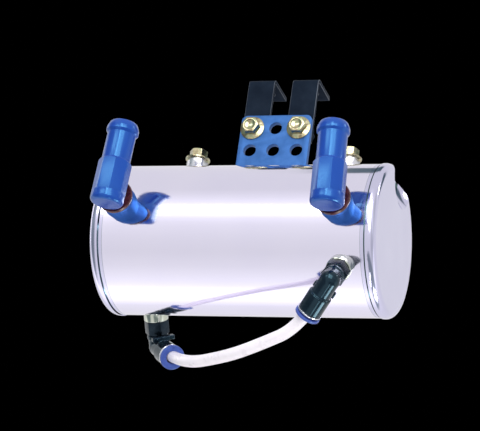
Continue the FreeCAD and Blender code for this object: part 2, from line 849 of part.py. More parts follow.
def grip_ring(side):
    """The sprung steel ring whose teeth hold the tube, coned towards the elbow."""
    return arm_ring(f"{side}_grip_ring", side, [
        ("tube_radius + tube_grip", "grip_x"),
        ("chamber_radius - tube_grip", "grip_x + grip_thick / 2"),
        ("chamber_radius - tube_grip", "grip_x + grip_thick"),
        ("tube_radius + tube_grip", "grip_x + grip_thick / 2"),
    ])


def guide_ring(side):
    """The ring that closes the arm's mouth and guides the release ring."""
    wide = "chamber_radius - tube_grip"
    return arm_ring(f"{side}_guide_ring", side, [
        ("guide_bore", "guide_x"),
        (wide, "guide_x"),
        (wide, "arm_length"),
        ("guide_rim", "arm_length"),
        ("guide_rim", "arm_length + guide_proud - guide_bevel"),
        ("guide_rim - guide_bevel", "arm_length + guide_proud"),
        ("guide_bore", "arm_length + guide_proud"),
    ])


def release_ring(side):
    """The ring that is pressed in to let go of the tube."""
    face = "arm_length + guide_proud + ring_gap"
    free = "tube_radius + tube_free"
    return arm_ring(f"{side}_release_ring", side, [
        (free, "sleeve_x"),
        ("ring_sleeve", "sleeve_x"),
        ("ring_sleeve", face),
        ("ring_radius", face),
        ("ring_radius", f"{face} + ring_thick - ring_bevel"),
        ("ring_radius - ring_bevel", f"{face} + ring_thick"),
        (f"{free} + ring_bevel", f"{face} + ring_thick"),
        (free, f"{face} + ring_thick - ring_bevel"),
    ])


def rounded_path(points):
    """Straight runs joined by arcs that touch them, each as large as its two runs allow."""
    edges = []
    here = points[0]
    for before, corner, after in zip(points, points[1:], points[2:]):
        back = (before - corner).normalize()
        ahead = (after - corner).normalize()
        half_turn = (math.pi - back.getAngle(ahead)) / 2
        reach = ARC_SHARE * min(before.distanceToPoint(corner), after.distanceToPoint(corner))
        radius = reach / math.tan(half_turn)
        print(f"sight tube arc radius {radius:.1f}, turn {math.degrees(2 * half_turn):.1f}")
        start = corner + back * reach
        end = corner + ahead * reach
        inwards = (back + ahead).normalize()
        middle = corner + inwards * (radius / math.cos(half_turn) - radius)
        edges.append(Part.LineSegment(here, start).toShape())
        edges.append(Part.Arc(start, middle, end).toShape())
        here = end
    edges.append(Part.LineSegment(here, points[-1]).toShape())
    return Part.Wire(edges)


def swept_round(path, start, along, radius):
    circle = Part.Wire(Part.Circle(start, along, radius).toShape())
    return path.makePipeShell([circle], True, False)


def sight_tube():
    """A nylon tube from stop to stop, out of one elbow and under the tank to the other."""
    def on_arm(side, reach):
        placed = sheet.evalExpression(cells(f"{arm_frame(side)} * vector(0; 0; {reach})"))
        return FreeCAD.Vector(placed)
    points = [on_arm("left", "tube_stop"), on_arm("left", "tube_stop + left_lead")]
    points += [FreeCAD.Vector(*point) for point in TUBE_MIDDLE]
    points += [on_arm("right", "tube_stop + right_lead"), on_arm("right", "tube_stop")]
    path = rounded_path(points)
    along = points[1] - points[0]
    outside = swept_round(path, points[0], along, value("tube_radius"))
    inside = swept_round(path, points[0], along, value("tube_bore"))
    tube = outside.cut(inside)
    section = math.pi * (value("tube_radius") ** 2 - value("tube_bore") ** 2)
    print(f"sight tube length {path.Length:.1f}, volume {tube.Volume:.1f},"
          f" section times length {section * path.Length:.1f}")
    feature = doc.addObject("Part::Feature", "sight_tube")
    feature.Label = "sight_tube"
    feature.Shape = tube
    bind(feature, Placement=in_tank())
    return feature


pieces = [tank_shell(), end_cap("left", False), end_cap("right", True), baffle_plate()]
pieces += [mounting_plate(), plate_weld("front_weld", -1), plate_weld("rear_weld", 1)]
for side in SIDES:
    pieces += [
        stay(side),
        flange_bolt(f"{side}_stay_bolt", in_tank(bolt_frame(side)), "stay_bolt_length"),
        stay_nut(side),
        crown_boss(side),
        plug_washer(side),
        plug_bolt(side),
        union_seat(side),
        union_seal(side),
        union_elbow(side),
        union_clip(side),
        gauge_bung(side),
        gauge_stem(side),
        gauge_elbow(side),
        tube_seal(side),
        grip_ring(side),
        guide_ring(side),
        release_ring(side),
    ]
pieces.append(sight_tube())
doc.recompute()

for item in doc.Objects:
    if "Invalid" in item.State or "Error" in item.State:
        raise RuntimeError(f"{item.Name} did not build: {item.State}")
for piece in pieces:
    if piece.Shape.isNull() or not piece.Shape.isValid():
        raise RuntimeError(f"{piece.Label} has no valid shape")

os.makedirs("parts", exist_ok=True)
for piece in pieces:
    piece.Shape.exportStep(f"parts/{piece.Label}.step")
    print(f"{piece.Label}: {len(piece.Shape.Solids)} solid, {piece.Shape.Volume:.0f} mm3")
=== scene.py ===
# %% [markdown]
# An oil catch can in a studio.
# The CAD model already holds every part of this can at its true size. Here each part gets the finish
# of the real thing: polished aluminium, blue anodising, yellow zinc, black nylon and clear tube.
# The frame comes first, because every piece is placed by it and rides on one of its bodies.

# %% Load the frame
import json
import math

import bmesh
import bpy
from mathutils import Matrix, Vector

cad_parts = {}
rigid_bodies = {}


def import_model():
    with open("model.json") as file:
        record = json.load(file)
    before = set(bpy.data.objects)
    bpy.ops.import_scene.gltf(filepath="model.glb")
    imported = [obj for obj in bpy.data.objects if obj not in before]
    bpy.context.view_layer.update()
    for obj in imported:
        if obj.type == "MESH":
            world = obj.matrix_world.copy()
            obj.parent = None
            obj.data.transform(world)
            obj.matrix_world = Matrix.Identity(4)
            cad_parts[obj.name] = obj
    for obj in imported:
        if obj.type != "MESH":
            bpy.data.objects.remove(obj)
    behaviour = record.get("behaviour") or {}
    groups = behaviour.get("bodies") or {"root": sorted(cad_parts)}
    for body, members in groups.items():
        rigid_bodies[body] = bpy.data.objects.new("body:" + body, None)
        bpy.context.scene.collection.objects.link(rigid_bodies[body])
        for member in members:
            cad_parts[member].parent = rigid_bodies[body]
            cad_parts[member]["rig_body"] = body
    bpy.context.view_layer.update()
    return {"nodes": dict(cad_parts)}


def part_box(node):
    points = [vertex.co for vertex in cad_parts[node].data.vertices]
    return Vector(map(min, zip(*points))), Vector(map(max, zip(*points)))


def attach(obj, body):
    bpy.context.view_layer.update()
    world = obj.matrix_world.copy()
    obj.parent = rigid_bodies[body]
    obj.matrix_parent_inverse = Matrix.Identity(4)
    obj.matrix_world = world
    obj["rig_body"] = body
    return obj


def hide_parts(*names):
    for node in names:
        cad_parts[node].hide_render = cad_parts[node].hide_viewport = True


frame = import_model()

nodes = frame["nodes"]
print("the frame holds", len(nodes), "nodes")

# %% [markdown]
# Blender counts in metres and a machinist in millimetres. A few places are read from the frame once,
# so that what follows can be said in words: the tank's middle, its ends, and its radius.

# %% Measures
MM = 0.001
SIDES = ("left", "right")


def middle(node):
    low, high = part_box(node)
    return (low + high) / 2


TANK = middle("tank_shell")
tank_low, tank_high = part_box("tank_shell")
TANK_RADIUS = (tank_high.z - tank_low.z) / 2
print("tank radius", round(TANK_RADIUS / MM, 1), "mm, middle", [round(c / MM, 1) for c in TANK])

# %% [markdown]
# The photograph was taken from below and to the right of the can, with a long lens. The camera's
# place and its two directions were worked out from the tank's seams and bolts, and a focal length
# in pixels turns into a lens by the width of the picture.

# %% Camera
PHOTO_WIDTH = 480
FOCAL_PIXELS = 2218.6
SENSOR = 36.0
CAMERA_PLACE = TANK + Vector((0.3470, -0.9703, -0.4223))
CAMERA_BACK = Vector((0.31688, -0.86505, -0.38894))
CAMERA_RIGHT = Vector((0.94846, 0.28948, 0.12891))

camera_data = bpy.data.cameras.new("camera")
camera_data.sensor_width = SENSOR
camera_data.lens = SENSOR * FOCAL_PIXELS / PHOTO_WIDTH
camera = bpy.data.objects.new("camera", camera_data)
bpy.context.scene.collection.objects.link(camera)
camera_up = CAMERA_BACK.cross(CAMERA_RIGHT)
camera_turn = Matrix((CAMERA_RIGHT, camera_up, CAMERA_BACK)).transposed()
camera.matrix_world = Matrix.Translation(CAMERA_PLACE) @ camera_turn.to_4x4()
bpy.context.scene.camera = camera
print("lens", round(camera_data.lens, 1), "mm")

# %% [markdown]
# The sight tube is nylon hose, pushed into an elbow at each end. It is made early, because a cord
# takes up room. A curve with a round bevel is the right tool: six points give the bend, and the
# NURBS spline draws one smooth line between them, as a springy tube does. The bevel is 1 and each
# point carries the tube's radius, because a point's radius also counts in the size of the curve.

# %% Sight tube
TUBE_ROUTE = [(-53.74, 13.09, -142.11), (-37.50, -3.00, -154.91), (-6.5, -23.9, -158.0),
              (12.2, -33.1, -155.2), (34.37, -42.01, -149.35), (46.53, -53.30, -136.99)]
TUBE_RADIUS = 3.0 * MM
STEPS_ALONG = 32
STEPS_ROUND = 10

tube_curve = bpy.data.curves.new("clear_tube", "CURVE")
tube_curve.dimensions = "3D"
tube_curve.resolution_u = STEPS_ALONG
tube_curve.bevel_depth = 1.0
tube_curve.bevel_resolution = STEPS_ROUND
tube_curve.use_fill_caps = True
line = tube_curve.splines.new("NURBS")
line.points.add(len(TUBE_ROUTE) - 1)
for point, place in zip(line.points, TUBE_ROUTE):
    point.co = (*(Vector(place) * MM), 1)
    point.radius = TUBE_RADIUS
line.order_u = 3
line.use_endpoint_u = True
clear_tube = bpy.data.objects.new("clear_tube", tube_curve)
bpy.context.scene.collection.objects.link(clear_tube)
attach(clear_tube, "root")
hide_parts("sight_tube")

# %% [markdown]
# A polished can shows the room more than itself. The room here is a pale studio, a little brighter
# in front of the can and below it, which gives the two white bands along the tank. Its brightness
# follows the angle round the tank's axis, where 0 is straight in front of the can and 90 is above.

# %% Studio bands
BAND_STOPS = [(-180, 0.84), (-155, 0.90), (-141, 0.96), (-130, 1.20), (-120, 1.45), (-105, 1.45),
              (-96, 1.16), (-88, 1.06), (-75, 0.96), (-62, 0.87), (-40, 0.80), (-20, 0.84),
              (-1, 0.92), (11, 1.06), (17, 1.30), (31, 1.30), (37, 1.08), (45, 0.95), (60, 0.80),
              (114, 0.80), (180, 0.84)]


def share_of_turn(degrees):
    """An angle from -180 to 180 degrees as a share from 0 to 1."""
    return (degrees + 180) / 360


world = bpy.data.worlds.new("studio")
world.use_nodes = True
bpy.context.scene.world = world
tree = world.node_tree
tree.nodes.clear()
direction = tree.nodes.new("ShaderNodeTexCoord")
split = tree.nodes.new("ShaderNodeSeparateXYZ")
tree.links.new(direction.outputs["Generated"], split.inputs["Vector"])
front = tree.nodes.new("ShaderNodeMath")
front.operation = "MULTIPLY"
front.inputs[1].default_value = -1
tree.links.new(split.outputs["Y"], front.inputs[0])
around = tree.nodes.new("ShaderNodeMath")
around.operation = "ARCTAN2"
tree.links.new(split.outputs["Z"], around.inputs[0])
tree.links.new(front.outputs[0], around.inputs[1])
share = tree.nodes.new("ShaderNodeMapRange")
share.inputs["From Min"].default_value = -math.pi
share.inputs["From Max"].default_value = math.pi
tree.links.new(around.outputs[0], share.inputs["Value"])
bands = tree.nodes.new("ShaderNodeValToRGB")
stops = bands.color_ramp.elements
while len(stops) < len(BAND_STOPS):
    stops.new(1.0)
for stop, (angle, bright) in zip(stops, BAND_STOPS):
    stop.position = share_of_turn(angle)
    stop.color = (bright, bright, bright, 1)
tree.links.new(share.outputs["Result"], bands.inputs["Fac"])
print("studio with", len(BAND_STOPS), "stops round the tank")

# %% [markdown]
# The dark places of the studio are made from three small steps. A fade goes softly from one level to
# another as a direction turns. Two fades multiplied give a patch, and patches are added.

# %% Steps for patches
def fade(value, limits, first, last):
    """A soft step: the first level below both limits, and the last level above them."""
    step = tree.nodes.new("ShaderNodeMapRange")
    step.interpolation_type = "SMOOTHSTEP"
    step.inputs["From Min"].default_value = limits[0]
    step.inputs["From Max"].default_value = limits[1]
    step.inputs["To Min"].default_value = first
    step.inputs["To Max"].default_value = last
    tree.links.new(value, step.inputs["Value"])
    return step.outputs["Result"]


def times(first, second):
    product = tree.nodes.new("ShaderNodeMath")
    product.operation = "MULTIPLY"
    tree.links.new(first, product.inputs[0])
    tree.links.new(second, product.inputs[1])
    return product.outputs[0]


def plus(first, second):
    total = tree.nodes.new("ShaderNodeMath")
    total.use_clamp = True
    tree.links.new(first, total.inputs[0])
    tree.links.new(second, total.inputs[1])
    return total.outputs[0]


print("steps:", fade.__name__, times.__name__, plus.__name__)

# %% [markdown]
# The pale sheets are only as wide as the tank needs them. Beside them the front of the studio is a
# dark blue-green, and so is the right half below, so that the unions and the push-in elbows stay
# deep in colour. A dark card behind the can is mirrored in the scoop, and a dark bar overhead gives
# the stripe near the top of the tank. Left to right, front to back and low to high are parts of a
# direction of length 1. The bar's height is an angle, as for the bands.

# %% Dark patches
SHEET_LEFT, SHEET_RIGHT, SHEET_DEPTH = (-0.66, -0.44), (0.60, 0.85), (-0.2, 0.25)
RIGHT_DARKNESS, FRONT_DARKNESS = 0.4, 0.82
BELOW_SIDE, BELOW_HEIGHT, BELOW_DARKNESS = (-0.12, 0.06), (-0.72, -0.55), 0.8
CARD_LEFT, CARD_RIGHT = (0.42, 0.48), (0.68, 0.76)
CARD_DEPTH, CARD_HEIGHT = (0.38, 0.44), (0.46, 0.52)
BAR_LEFT, BAR_RIGHT = (-0.288, -0.274), (0.02, 0.12)
BAR_LOW = (share_of_turn(97), share_of_turn(101))
BAR_HIGH = (share_of_turn(116), share_of_turn(120))

across, depth, height = (split.outputs[axis] for axis in "XYZ")
turned = share.outputs["Result"]
beside = plus(fade(across, SHEET_LEFT, 1.0, 0.0), fade(across, SHEET_RIGHT, 0.0, RIGHT_DARKNESS))
dark_front = times(beside, fade(depth, SHEET_DEPTH, FRONT_DARKNESS, 0.0))
dark_below = times(fade(across, BELOW_SIDE, 0.0, BELOW_DARKNESS), fade(height, BELOW_HEIGHT, 1.0, 0.0))
card_width = times(fade(across, CARD_LEFT, 0.0, 1.0), fade(across, CARD_RIGHT, 1.0, 0.0))
card_place = times(fade(depth, CARD_DEPTH, 0.0, 1.0), fade(height, CARD_HEIGHT, 0.0, 1.0))
bar_width = times(fade(across, BAR_LEFT, 0.0, 1.0), fade(across, BAR_RIGHT, 1.0, 0.0))
bar_place = times(fade(turned, BAR_LOW, 0.0, 1.0), fade(turned, BAR_HIGH, 1.0, 0.0))
dark_behind = plus(times(card_width, card_place), times(bar_width, bar_place))
darkness = plus(plus(dark_front, dark_below), dark_behind)
print("four dark patches in the studio")

# %% [markdown]
# The bands are tinted where the studio is dark. The camera itself sees plain black behind the can, as
# in the photograph, so the room shows only as light and in reflections. The Standard view keeps each
# colour as it is.

# %% World
DARK_TINT = (0.10, 0.16, 0.18, 1)

tinted = tree.nodes.new("ShaderNodeMix")
tinted.data_type = "RGBA"
tinted.blend_type = "MULTIPLY"
tinted.inputs["B"].default_value = DARK_TINT
tree.links.new(darkness, tinted.inputs["Factor"])
tree.links.new(bands.outputs["Color"], tinted.inputs["A"])
pale = tree.nodes.new("ShaderNodeBackground")
tree.links.new(tinted.outputs["Result"], pale.inputs["Color"])
black = tree.nodes.new("ShaderNodeBackground")
black.inputs["Color"].default_value = (0, 0, 0, 1)
rays = tree.nodes.new("ShaderNodeLightPath")
seen = tree.nodes.new("ShaderNodeMixShader")
tree.links.new(rays.outputs["Is Camera Ray"], seen.inputs["Fac"])
tree.links.new(pale.outputs[0], seen.inputs[1])
tree.links.new(black.outputs[0], seen.inputs[2])
surroundings = tree.nodes.new("ShaderNodeOutputWorld")
tree.links.new(seen.outputs[0], surroundings.inputs["Surface"])
bpy.context.scene.view_settings.view_transform = "Standard"
print("world", world.name, "tinted", DARK_TINT[:3], "where it is dark")

# %% [markdown]
# Soft boxes add the crisp lights. Three stand in front: a wide one, an upright one for the flats
# of the unions, and one to the right for the cap's rim. The small ones draw the streaks: on the left
# edges, in the scoop, and on the elbows from below. Their directions come from the mirror rule,
# worked back from where each light is seen. Each line is a name, a direction, a width and a height
# in metres, and a power in watts.

# %% Lamps
LAMP_DISTANCE = 1.2


def soft_box(name, toward, width, height, power):
    """A rectangular lamp that looks back at the can."""
    lamp_data = bpy.data.lights.new(name, "AREA")
    lamp_data.shape = "RECTANGLE"
    lamp_data.size = width
    lamp_data.size_y = height
    lamp_data.energy = power
    lamp = bpy.data.objects.new(name, lamp_data)
    bpy.context.scene.collection.objects.link(lamp)
    away = Vector(toward).normalized()
    facing = away.to_track_quat("Z", "Y").to_matrix().to_4x4()
    lamp.matrix_world = Matrix.Translation(TANK + away * LAMP_DISTANCE) @ facing


SOFT_BOXES = [
    ("front_box", (-0.317, -0.865, 0.389), 0.5, 0.22, 1.2),
    ("strip_box", (0.11, -0.91, 0.389), 0.22, 0.9, 4),
    ("right_box", (0.40, -0.83, 0.24), 0.5, 0.9, 5),
    ("left_box", (-0.92, 0.2, 0.3), 0.12, 0.6, 0.4),
    ("scoop_box", (0.77, 0.17, 0.61), 0.07, 0.16, 0.6),
    ("low_box", (0.12, -0.16, -0.98), 0.14, 0.5, 1.0),
    ("socket_box", (0.43, 0.34, -0.84), 0.4, 0.4, 5),
]
for box in SOFT_BOXES:
    soft_box(*box)
print(len(SOFT_BOXES), "soft boxes at", LAMP_DISTANCE, "m")

# %% [markdown]
# The floor is plain and pale, far below, because the can hangs. Polished metal looks through it at
# the room, so that no edge of the floor is mirrored in the tank.

# %% Floor
FLOOR_HEIGHT = -1.4
FLOOR_HALF = 6.0
FLOOR_GREY = (0.72, 0.72, 0.74, 1)

floor_shape = bmesh.new()
bmesh.ops.create_grid(floor_shape, x_segments=1, y_segments=1, size=FLOOR_HALF)
bmesh.ops.translate(floor_shape, verts=floor_shape.verts, vec=(0, 0, FLOOR_HEIGHT))
floor_mesh = bpy.data.meshes.new("floor")
floor_shape.to_mesh(floor_mesh)
floor_shape.free()
floor = bpy.data.objects.new("floor", floor_mesh)
bpy.context.scene.collection.objects.link(floor)

floor_paint = bpy.data.materials.new("pale_floor")
floor_paint.use_nodes = True
tree = floor_paint.node_tree
tree.nodes.clear()
matt = tree.nodes.new("ShaderNodeBsdfDiffuse")
matt.inputs["Color"].default_value = FLOOR_GREY
gone = tree.nodes.new("ShaderNodeBsdfTransparent")
rays = tree.nodes.new("ShaderNodeLightPath")
seen = tree.nodes.new("ShaderNodeMixShader")
tree.links.new(rays.outputs["Is Glossy Ray"], seen.inputs["Fac"])
tree.links.new(matt.outputs[0], seen.inputs[1])
tree.links.new(gone.outputs[0], seen.inputs[2])
result = tree.nodes.new("ShaderNodeOutputMaterial")
tree.links.new(seen.outputs[0], result.inputs["Surface"])
floor_mesh.materials.append(floor_paint)
print("floor at", FLOOR_HEIGHT, "m")

# %% [markdown]
# Colours are easier to judge as a screen shows them, from 0 to 255, than in the linear numbers that
# a shader wants. One helper turns the first into the second, and another starts a material with its
# plain values set on the Principled shader's own sockets.

# %% Material helpers
def screen(red, green, blue):
    """A screen colour as the linear colour of a shader."""
    linear = []
    for level in (red, green, blue):
        part = level / 255
        linear.append(part / 12.92 if part <= 0.04045 else ((part + 0.055) / 1.055) ** 2.4)
    return (*linear, 1)


def new_finish(name, **values):
    """A material with one Principled shader. The values are the shader's sockets by name."""
    finish = bpy.data.materials.new(name)
    finish.use_nodes = True
    shader = finish.node_tree.nodes["Principled BSDF"]
    for socket, value in values.items():
        shader.inputs[socket.replace("_", " ")].default_value = value
    return finish, finish.node_tree, shader


def add_node(tree, kind, **values):
    """A node with its inputs set by name."""
    node = tree.nodes.new(kind)
    for socket, value in values.items():
        node.inputs[socket.replace("_", " ")].default_value = value
    return node


print("a mid grey is", [round(level, 3) for level in screen(128, 128, 128)[:3]], "to a shader")

# %% [markdown]
# A node group is a recipe that is written once and used in many materials. One helper starts an
# empty group with named inputs and outputs, and another puts a copy of a group in a material.

# %% Group helpers
FLOAT = "NodeSocketFloat"
VECTOR = "NodeSocketVector"


def place_group(tree, group, **values):
    """A copy of a node group in a tree, with its inputs set by name."""
    node = tree.nodes.new("ShaderNodeGroup")
    node.node_tree = group
    for socket, value in values.items():
        node.inputs[socket.replace("_", " ")].default_value = value
    return node


def start_group(name, inputs, outputs):
    """An empty node group with named inputs (and their first values) and outputs."""
    group = bpy.data.node_groups.new(name, "ShaderNodeTree")
    for title, kind, value in inputs:
        socket = group.interface.new_socket(name=title, in_out="INPUT", socket_type=kind)
        if value is not None:
            socket.default_value = value
    for title, kind in outputs:
        group.interface.new_socket(name=title, in_out="OUTPUT", socket_type=kind)
    return group, group.nodes.new("NodeGroupInput"), group.nodes.new("NodeGroupOutput")


print("group helpers:", start_group.__name__, place_group.__name__)

# %% [markdown]
# No real surface is even. Three effects follow, and each is a group that is built once. The first,
# on every finish, is handling: broad soft patches where a surface has been wiped and touched, which
# make it a little duller or brighter. It moves roughness around a middle value.

# %% Handling marks
def make_handling():
    group, given, put_out = start_group(
        "handling", [("Vector", VECTOR, None), ("Patch Size", FLOAT, 60.0),
                     ("Roughness", FLOAT, 0.2), ("Spread", FLOAT, 0.05)],
        [("Roughness", FLOAT), ("Mask", FLOAT)])
    patches = add_node(group, "ShaderNodeTexNoise", Detail=3.0, Roughness=0.55)
    group.links.new(given.outputs["Vector"], patches.inputs["Vector"])
    group.links.new(given.outputs["Patch Size"], patches.inputs["Scale"])
    clear = add_node(group, "ShaderNodeMapRange")
    clear.inputs["From Min"].default_value = 0.3
    clear.inputs["From Max"].default_value = 0.7
    group.links.new(patches.outputs["Fac"], clear.inputs["Value"])
    centred = add_node(group, "ShaderNodeMath")
    centred.operation = "SUBTRACT"
    centred.inputs[1].default_value = 0.5
    group.links.new(clear.outputs["Result"], centred.inputs[0])
    spread = add_node(group, "ShaderNodeMath")
    spread.operation = "MULTIPLY_ADD"
    group.links.new(centred.outputs[0], spread.inputs[0])
    group.links.new(given.outputs["Spread"], spread.inputs[1])
    group.links.new(given.outputs["Roughness"], spread.inputs[2])
    group.links.new(spread.outputs[0], put_out.inputs["Roughness"])
    group.links.new(clear.outputs["Result"], put_out.inputs["Mask"])
    return group


handling = make_handling()
print("group", handling.name)

# %% [markdown]
# The second is grain: the fine pits of a blasted surface, the orange peel of paint or the lines of a
# polishing mop. It is noise, stretched by a different scale along each axis, and its height goes to
# a Bump node. The scale is in grains per metre.

# %% Grain
def make_grain():
    group, given, put_out = start_group(
        "grain", [("Vector", VECTOR, None), ("Grains", VECTOR, (1.0, 1.0, 1.0)),
                  ("Detail", FLOAT, 2.0)],
        [("Height", FLOAT)])
    stretched = add_node(group, "ShaderNodeVectorMath")
    stretched.operation = "MULTIPLY"
    group.links.new(given.outputs["Vector"], stretched.inputs[0])
    group.links.new(given.outputs["Grains"], stretched.inputs[1])
    noise = add_node(group, "ShaderNodeTexNoise", Scale=1.0, Roughness=0.6)
    group.links.new(stretched.outputs["Vector"], noise.inputs["Vector"])
    group.links.new(given.outputs["Detail"], noise.inputs["Detail"])
    group.links.new(noise.outputs["Fac"], put_out.inputs["Height"])
    return group


grain = make_grain()
print("group", grain.name)

# %% [markdown]
# The third, for the unions, is wear along edges, where a coating is rubbed thin and the metal shows.
# Pointiness is high where a surface turns sharply outwards. Noise breaks it up, so that the line
# isn't drawn with a ruler.

# %% Edge wear
def make_edge_wear():
    group, given, put_out = start_group(
        "edge wear", [("Vector", VECTOR, None), ("Start", FLOAT, 0.52), ("Full", FLOAT, 0.6),
                      ("Amount", FLOAT, 1.0)],
        [("Mask", FLOAT)])
    shape = add_node(group, "ShaderNodeNewGeometry")
    edge = add_node(group, "ShaderNodeMapRange")
    group.links.new(shape.outputs["Pointiness"], edge.inputs["Value"])
    group.links.new(given.outputs["Start"], edge.inputs["From Min"])
    group.links.new(given.outputs["Full"], edge.inputs["From Max"])
    chips = add_node(group, "ShaderNodeTexNoise", Scale=700.0, Detail=3.0)
    group.links.new(given.outputs["Vector"], chips.inputs["Vector"])
    broken = add_node(group, "ShaderNodeMapRange")
    broken.inputs["From Min"].default_value = 0.35
    broken.inputs["From Max"].default_value = 0.6
    group.links.new(chips.outputs["Fac"], broken.inputs["Value"])
    both = add_node(group, "ShaderNodeMath")
    both.operation = "MULTIPLY"
    group.links.new(edge.outputs["Result"], both.inputs[0])
    group.links.new(broken.outputs["Result"], both.inputs[1])
    wear_and_edge_highlight = add_node(group, "ShaderNodeMath")
    wear_and_edge_highlight.operation = "MULTIPLY"
    wear_and_edge_highlight.use_clamp = True
    group.links.new(both.outputs[0], wear_and_edge_highlight.inputs[0])
    group.links.new(given.outputs["Amount"], wear_and_edge_highlight.inputs[1])
    group.links.new(wear_and_edge_highlight.outputs[0], put_out.inputs["Mask"])
    return group


edge_wear = make_edge_wear()
print("group", edge_wear.name)

# %% [markdown]
# Each finish below is put together from the same three steps: where on the piece we are (Object
# coordinates, so that the pattern stays on the piece), how rough it is there, and how it is raised.
# These helpers join them, and each material then says only what is special about it.

# %% Joining the steps
def object_place(tree):
    return tree.nodes.new("ShaderNodeTexCoord").outputs["Object"]


def give_handling(tree, shader, place, patch, roughness, spread):
    marks = place_group(tree, handling, Patch_Size=patch, Roughness=roughness, Spread=spread)
    tree.links.new(place, marks.inputs["Vector"])
    tree.links.new(marks.outputs["Roughness"], shader.inputs["Roughness"])
    return marks


def give_grain(tree, shader, place, grains, strength, height, detail=2.0):
    pattern = place_group(tree, grain, Grains=grains, Detail=detail)
    tree.links.new(place, pattern.inputs["Vector"])
    bump = add_node(tree, "ShaderNodeBump", Strength=strength, Distance=height)
    tree.links.new(pattern.outputs["Height"], bump.inputs["Height"])
    tree.links.new(bump.outputs["Normal"], shader.inputs["Normal"])


def blend_colour(tree, mask, first, second):
    """A colour that goes from the first to the second by a mask."""
    mix = tree.nodes.new("ShaderNodeMix")
    mix.data_type = "RGBA"
    mix.inputs["A"].default_value = first
    mix.inputs["B"].default_value = second
    tree.links.new(mask, mix.inputs["Factor"])
    return mix.outputs["Result"]


print("steps:", give_handling.__name__, give_grain.__name__, blend_colour.__name__)

# %% [markdown]
# The tank is drawn aluminium tube, polished until it mirrors the unions and the plate. Its faint
# lilac cast is part of the look. The polishing mop leaves hair lines round the tube: noise with many
# grains along the tank and few across.

# %% Polished tank
def make_polished_tank():
    finish, tree, shader = new_finish("polished_tank", Metallic=1.0)
    place = object_place(tree)
    marks = give_handling(tree, shader, place, 28.0, 0.10, 0.05)
    colour = blend_colour(tree, marks.outputs["Mask"], (0.82, 0.785, 0.96, 1), (0.85, 0.815, 0.975, 1))
    tree.links.new(colour, shader.inputs["Base Color"])
    give_grain(tree, shader, place, (2600.0, 90.0, 90.0), 0.05, 0.00002, 3.0)
    return finish


polished_tank = make_polished_tank()
print("finish", polished_tank.name)

# %% [markdown]
# The seam between the tube and a cap shows as a thin dark joint line. The groove behind the cap's rim
# gets painted shade, dark blue-green, where little light reaches into it. Both are narrow rings, so a
# mask that is 1 between two distances along the tank finds them.

# %% Ring mask
def make_ring_mask():
    group, given, put_out = start_group(
        "ring mask", [("Vector", VECTOR, None), ("Middle", FLOAT, 0.0), ("Start", FLOAT, 0.0),
                      ("End", FLOAT, 0.0)],
        [("Mask", FLOAT)])
    axes = add_node(group, "ShaderNodeSeparateXYZ")
    group.links.new(given.outputs["Vector"], axes.inputs["Vector"])
    centred = add_node(group, "ShaderNodeMath")
    centred.operation = "SUBTRACT"
    group.links.new(axes.outputs["X"], centred.inputs[0])
    group.links.new(given.outputs["Middle"], centred.inputs[1])
    along = add_node(group, "ShaderNodeMath")
    along.operation = "ABSOLUTE"
    group.links.new(centred.outputs[0], along.inputs[0])
    after = add_node(group, "ShaderNodeMath")
    after.operation = "GREATER_THAN"
    group.links.new(along.outputs[0], after.inputs[0])
    group.links.new(given.outputs["Start"], after.inputs[1])
    before = add_node(group, "ShaderNodeMath")
    before.operation = "LESS_THAN"
    group.links.new(along.outputs[0], before.inputs[0])
    group.links.new(given.outputs["End"], before.inputs[1])
    both = add_node(group, "ShaderNodeMath")
    both.operation = "MULTIPLY"
    group.links.new(after.outputs[0], both.inputs[0])
    group.links.new(before.outputs[0], both.inputs[1])
    group.links.new(both.outputs[0], put_out.inputs["Mask"])
    return group


ring_mask = make_ring_mask()
print("group", ring_mask.name)

# %% [markdown]
# The caps are turned from bar and polished nearly as well as the tube. Two dark rings go over their
# colour, one after the other: the joint line at the seam, and painted shade in the groove.

# %% Turned caps
SEAM = (tank_high.x - tank_low.x) / 2
# The first ring is the joint line at the seam; the second is painted shade in the groove behind the
# rim.
JOINT_AND_SHADE_RINGS = [(SEAM - 0.05 * MM, SEAM + 0.12 * MM), (SEAM + 1.75 * MM, SEAM + 2.5 * MM)]
JOINT_AND_SHADE_TEAL = (0.13, 0.21, 0.23, 1)


def make_turned_cap():
    finish, tree, shader = new_finish("turned_cap", Metallic=1.0)
    place = object_place(tree)
    marks = give_handling(tree, shader, place, 40.0, 0.13, 0.04)
    colour = blend_colour(tree, marks.outputs["Mask"], (0.675, 0.655, 0.87, 1), (0.715, 0.695, 0.90, 1))
    for start, end in JOINT_AND_SHADE_RINGS:
        ring = place_group(tree, ring_mask, Middle=TANK.x, Start=start, End=end)
        tree.links.new(place, ring.inputs["Vector"])
        darkened_ring = tree.nodes.new("ShaderNodeMix")
        darkened_ring.data_type = "RGBA"
        darkened_ring.inputs["B"].default_value = JOINT_AND_SHADE_TEAL
        tree.links.new(ring.outputs["Mask"], darkened_ring.inputs["Factor"])
        tree.links.new(colour, darkened_ring.inputs["A"])
        colour = darkened_ring.outputs["Result"]
    tree.links.new(colour, shader.inputs["Base Color"])
    give_grain(tree, shader, place, (900.0, 900.0, 900.0), 0.05, 0.00003)
    return finish


turned_cap = make_turned_cap()
print("finish", turned_cap.name, "with", len(JOINT_AND_SHADE_RINGS), "joint and shade rings")

# %% [markdown]
# The bosses, washers, welds and the baffle are as the tool left them, duller and a little uneven.

# %% Bare aluminium
def make_bare_aluminium():
    finish, tree, shader = new_finish("bare_aluminium", Metallic=1.0)
    place = object_place(tree)
    marks = give_handling(tree, shader, place, 160.0, 0.28, 0.12)
    colour = blend_colour(tree, marks.outputs["Mask"], (0.70, 0.70, 0.76, 1), (0.82, 0.82, 0.86, 1))
    tree.links.new(colour, shader.inputs["Base Color"])
    give_grain(tree, shader, place, (1500.0, 1500.0, 1500.0), 0.12, 0.00004)
    return finish


bare_aluminium = make_bare_aluminium()
print("finish", bare_aluminium.name)

